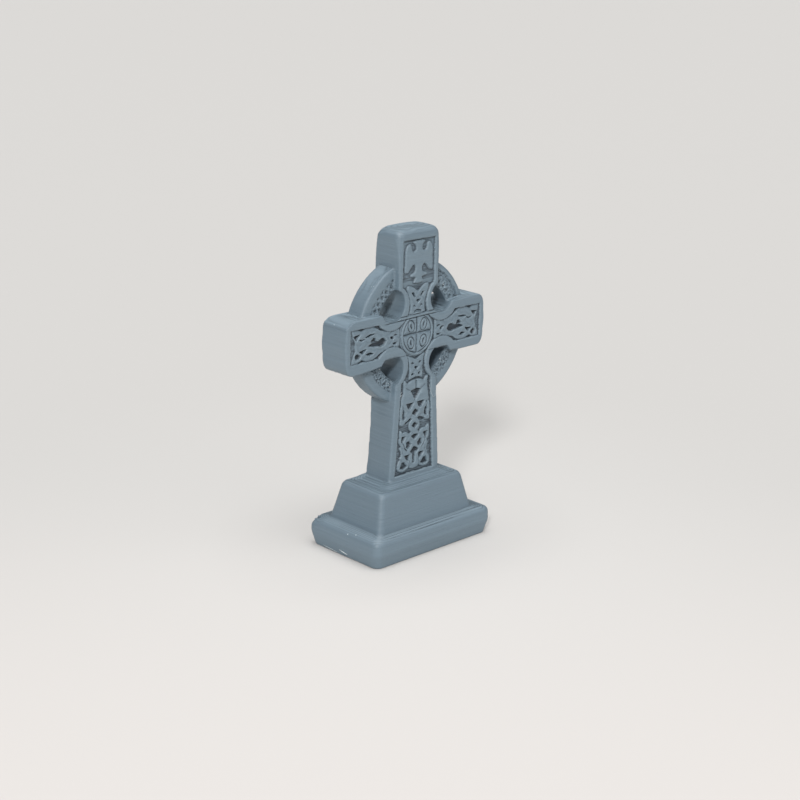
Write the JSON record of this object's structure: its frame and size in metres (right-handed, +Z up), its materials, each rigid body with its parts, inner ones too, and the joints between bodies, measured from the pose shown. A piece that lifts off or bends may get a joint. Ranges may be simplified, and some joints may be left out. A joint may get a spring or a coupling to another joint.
{
  "type": "ringed cross memorial miniature",
  "caption": "Small printed model of a ringed cross memorial on its stepped plinth, with sunk panels of raised knotwork, a displayed bird and a quartered boss.",
  "frame": {"origin": "middle of the plinth's flat underside", "axes": "+Z up, the carved front faces -Y, +X to the viewer's right when looking at the front"},
  "size_m": [0.0362, 0.0194, 0.062],
  "materials": {
    "blue_grey_plastic": "satin blue-grey printed plastic with fine level layers"
  },
  "bodies": {
    "root": {"ringed_cross_memorial": "blue_grey_plastic"}
  },
  "joints": []
}
